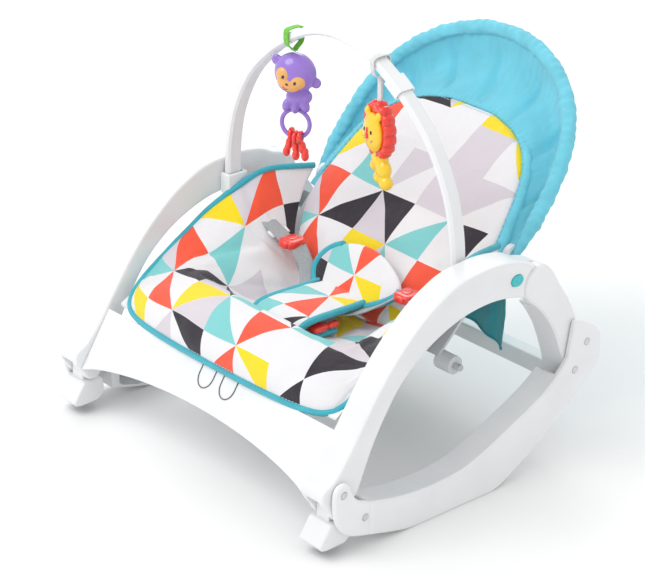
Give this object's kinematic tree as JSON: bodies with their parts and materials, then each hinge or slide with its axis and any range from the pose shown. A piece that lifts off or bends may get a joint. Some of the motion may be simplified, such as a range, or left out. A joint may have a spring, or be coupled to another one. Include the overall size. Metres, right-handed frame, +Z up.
{
  "type": "baby bouncer seat",
  "caption": "Rocking baby bouncer seat with arched side frames, padded seat and backrest, folded-back hood, toy bar with hanging toys, restraint and a folding rocker base.",
  "frame": {"origin": "on the floor, at the middle of the whole width and length", "axes": "+Z up, +Y from the foot end to the head end, +X towards the picture's near side"},
  "size_m": [0.4972, 0.5042, 0.4862],
  "materials": {
    "steel": "satin",
    "printed_cloth": "printed weave",
    "teal_cloth": "plain weave",
    "webbing": "woven tape",
    "green_ribbon": "ribbon",
    "white_ribbon": "ribbon",
    "red_plastic": "gloss",
    "yellow_plastic": "gloss",
    "purple_plastic": "gloss",
    "teal_plastic": "satin",
    "grip_rubber": "matt",
    "grey_plastic": "satin",
    "white_plastic": "satin"
  },
  "bodies": {
    "frame": {"side_frame_L": "white_plastic", "side_frame_R": "white_plastic", "front_panel": "white_plastic", "seat_shell": "white_plastic", "seat_pad": "printed_cloth", "bar_socket_L": "white_plastic", "bar_socket_R": "white_plastic", "fold_pin_L": "steel", "fold_pin_R": "steel", "foot_pin_L": "steel", "foot_pin_R": "steel", "recline_pin_L": "steel", "recline_pin_R": "steel"},
    "rocker": {"rocker_rail_L": "white_plastic", "rocker_rail_R": "white_plastic", "front_knuckle_L": "white_plastic", "front_knuckle_R": "white_plastic", "rear_leg_L": "white_plastic", "rear_leg_R": "white_plastic", "rear_cross_bar": "white_plastic", "screw_front_lower_L": "steel", "screw_front_lower_R": "steel", "screw_front_upper_L": "steel", "screw_front_upper_R": "steel", "screw_rear_lower_L": "steel", "screw_rear_lower_R": "steel", "screw_rear_upper_L": "steel", "screw_rear_upper_R": "steel"},
    "foot_left": {"foot_L": "white_plastic", "foot_grip_L": "grip_rubber"},
    "foot_right": {"foot_R": "white_plastic", "foot_grip_R": "grip_rubber"},
    "fold_button_left": {"fold_button_L": "teal_plastic"},
    "fold_button_right": {"fold_button_R": "teal_plastic"},
    "backrest": {"backrest_shell": "grey_plastic", "backrest_pad": "printed_cloth", "hood_hub_L": "white_plastic", "hood_hub_R": "white_plastic"},
    "canopy": {"hood_hoop": "white_plastic", "hood": "teal_cloth"},
    "toy_bar": {"toy_bar_long": "white_plastic", "toy_bar_short": "white_plastic", "toy_bar_collar": "white_plastic", "rattle_strap": "green_ribbon", "lion_strap": "white_ribbon"},
    "rattle": {"rattle_body": "purple_plastic"},
    "ring": {"rattle_ring": "purple_plastic"},
    "bead_1": {"rattle_bead_1": "red_plastic"},
    "bead_2": {"rattle_bead_2": "red_plastic"},
    "bead_3": {"rattle_bead_3": "red_plastic"},
    "lion": {"lion_body": "yellow_plastic", "lion_mane": "red_plastic"},
    "crotch": {"crotch_pad": "printed_cloth"},
    "strap_left": {"waist_strap_L": "webbing", "buckle_L": "red_plastic"},
    "strap_right": {"waist_strap_R": "webbing", "buckle_R": "red_plastic"}
  },
  "joints": [
    {"name": "rocker_fold", "type": "hinge", "parent": "frame", "child": "rocker", "pos_m": [0, 0.06976, 0.233], "axis": [1, 0, 0], "range_deg": [0, 80]},
    {"name": "foot_hinge_left", "type": "hinge", "parent": "frame", "child": "foot_left", "pos_m": [-0.222, -0.22424, 0.056], "axis": [1, 0, 0], "range_deg": [-40, 10]},
    {"name": "foot_hinge_right", "type": "hinge", "parent": "frame", "child": "foot_right", "pos_m": [0.222, -0.22424, 0.056], "axis": [1, 0, 0], "range_deg": [-40, 10]},
    {"name": "fold_button_press_left", "type": "slide", "parent": "frame", "child": "fold_button_left", "axis": [1, 0, 0], "range_m": [0, 0.003], "stiffness_N_per_m": 300, "springref_m": -0.001},
    {"name": "fold_button_press_right", "type": "slide", "parent": "frame", "child": "fold_button_right", "axis": [-1, 0, 0], "range_m": [0, 0.003], "stiffness_N_per_m": 300, "springref_m": -0.001},
    {"name": "backrest_recline", "type": "hinge", "parent": "frame", "child": "backrest", "pos_m": [0, 0.00976, 0.125], "axis": [1, 0, 0], "range_deg": [-18, 8]},
    {"name": "canopy_swing", "type": "hinge", "parent": "backrest", "child": "canopy", "pos_m": [0, 0.10176, 0.233], "axis": [1, 0, 0], "range_deg": [0, 35]},
    {"name": "toy_bar_lift", "type": "slide", "parent": "frame", "child": "toy_bar", "axis": [0, 0, 1], "range_m": [0, 0.06]},
    {"name": "rattle_swing", "type": "hinge", "parent": "toy_bar", "child": "rattle", "pos_m": [-0.08, -0.01424, 0.439], "axis": [1, 0, 0], "range_deg": [-25, 25]},
    {"name": "ring_swing", "type": "hinge", "parent": "rattle", "child": "ring", "pos_m": [-0.078, -0.01424, 0.368], "axis": [1, 0, 0], "range_deg": [-12, 12]},
    {"name": "lion_swing", "type": "hinge", "parent": "toy_bar", "child": "lion", "pos_m": [0.066, -0.01424, 0.41426], "axis": [1, 0, 0], "range_deg": [-20, 20]},
    {"name": "crotch_flip", "type": "hinge", "parent": "frame", "child": "crotch", "pos_m": [0, -0.11624, 0.152], "axis": [1, 0, 0], "range_deg": [0, 100]},
    {"name": "strap_swing_left", "type": "hinge", "parent": "frame", "child": "strap_left", "pos_m": [-0.156, -0.00424, 0.212], "axis": [0, -1, 0], "range_deg": [0, 60]},
    {"name": "strap_swing_right", "type": "hinge", "parent": "frame", "child": "strap_right", "pos_m": [0.156, -0.00424, 0.212], "axis": [0, 1, 0], "range_deg": [0, 60]},
    {"name": "bead_swing_1", "type": "hinge", "parent": "ring", "child": "bead_1", "pos_m": [-0.08598, -0.01424, 0.33599], "axis": [0.8829, 0, -0.4695], "range_deg": [-25, 25]},
    {"name": "bead_swing_2", "type": "hinge", "parent": "ring", "child": "bead_2", "pos_m": [-0.078, -0.01424, 0.334], "axis": [1, 0, 0], "range_deg": [-25, 25]},
    {"name": "bead_swing_3", "type": "hinge", "parent": "ring", "child": "bead_3", "pos_m": [-0.07002, -0.01424, 0.33599], "axis": [0.8829, 0, 0.4695], "range_deg": [-25, 25]}
  ]
}
